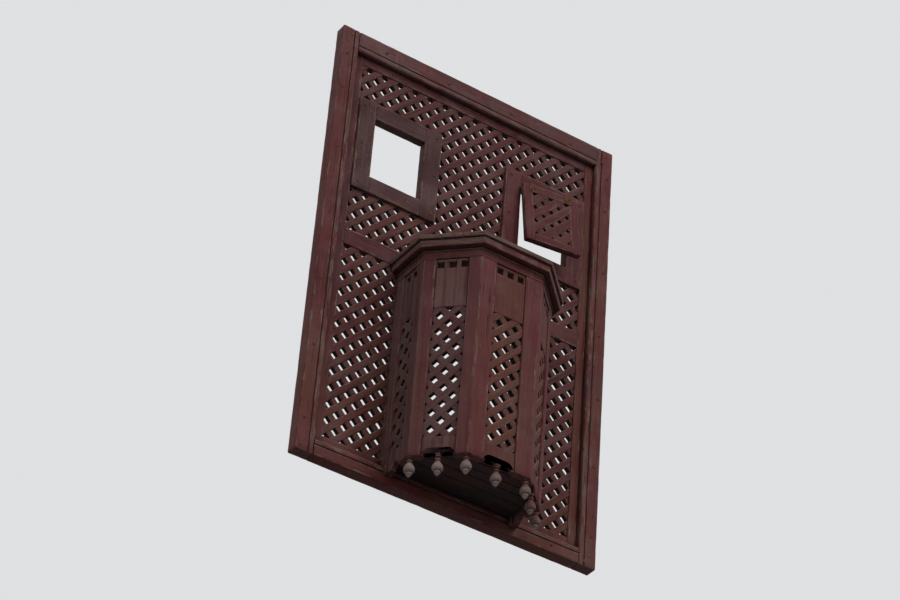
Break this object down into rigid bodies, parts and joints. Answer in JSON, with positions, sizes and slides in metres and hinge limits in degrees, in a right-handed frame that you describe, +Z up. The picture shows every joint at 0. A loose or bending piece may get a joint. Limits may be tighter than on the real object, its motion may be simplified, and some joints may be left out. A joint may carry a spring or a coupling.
{
  "type": "mashrabiya screen with a projecting lattice bay",
  "caption": "Wall-hung wooden mashrabiya screen: a framed diagonal lattice with small hatches and a half-octagon lattice bay that projects over the street.",
  "frame": {"origin": "middle of the bottom rail's back face, which is fixed to the wall", "axes": "+Z up, +X to the right along the wall as seen from the street, +Y into the wall; the street side faces -Y"},
  "size_m": [1.05, 0.329, 1.64],
  "materials": {
    "frame_paint": "red-brown paint, faded, dusty and worn through in streaks",
    "lattice_paint": "red-brown paint, faded, with dust on the upper sides",
    "bay_paint": "red-brown paint, faded, greyer near the wall",
    "bay_lattice_paint": "red-brown paint, faded",
    "iron": "rusty"
  },
  "bodies": {
    "root": {"bay_aprons": "bay_paint", "bay_corner_drops": "bay_paint", "bay_cornice": "bay_paint", "bay_floor": "bay_paint", "bay_jamb_left": "bay_paint", "bay_jamb_right": "bay_paint", "bay_lattice_front": "bay_lattice_paint", "bay_lattice_left_cant": "bay_lattice_paint", "bay_lattice_left_side": "bay_lattice_paint", "bay_lattice_right_cant": "bay_lattice_paint", "bay_lattice_right_side": "bay_lattice_paint", "bay_middle_drops": "bay_paint", "bay_post_left_corner": "bay_paint", "bay_post_left_front": "bay_paint", "bay_post_left_wall": "bay_paint", "bay_post_right_corner": "bay_paint", "bay_post_right_front": "bay_paint", "bay_post_right_wall": "bay_paint", "bay_roof": "bay_paint", "bay_top_boards": "bay_paint", "bottom_rail": "frame_paint", "flap_hinges": "iron", "flap_lattice": "lattice_paint", "flap_rails": "frame_paint", "flap_stiles": "frame_paint", "hatch_rails_left": "frame_paint", "hatch_rails_right": "frame_paint", "hatch_stiles_left": "frame_paint", "hatch_stiles_right": "frame_paint", "head_rail": "frame_paint", "lattice_between_hatches": "lattice_paint", "lattice_left": "lattice_paint", "lattice_right": "lattice_paint", "lattice_top": "lattice_paint", "lattice_waist": "lattice_paint", "mid_rail": "frame_paint", "sash_head": "frame_paint", "sash_sill_left": "frame_paint", "sash_sill_right": "frame_paint", "sash_stile_left": "frame_paint", "sash_stile_right": "frame_paint", "stile_left": "frame_paint", "stile_right": "frame_paint"}
  },
  "joints": []
}
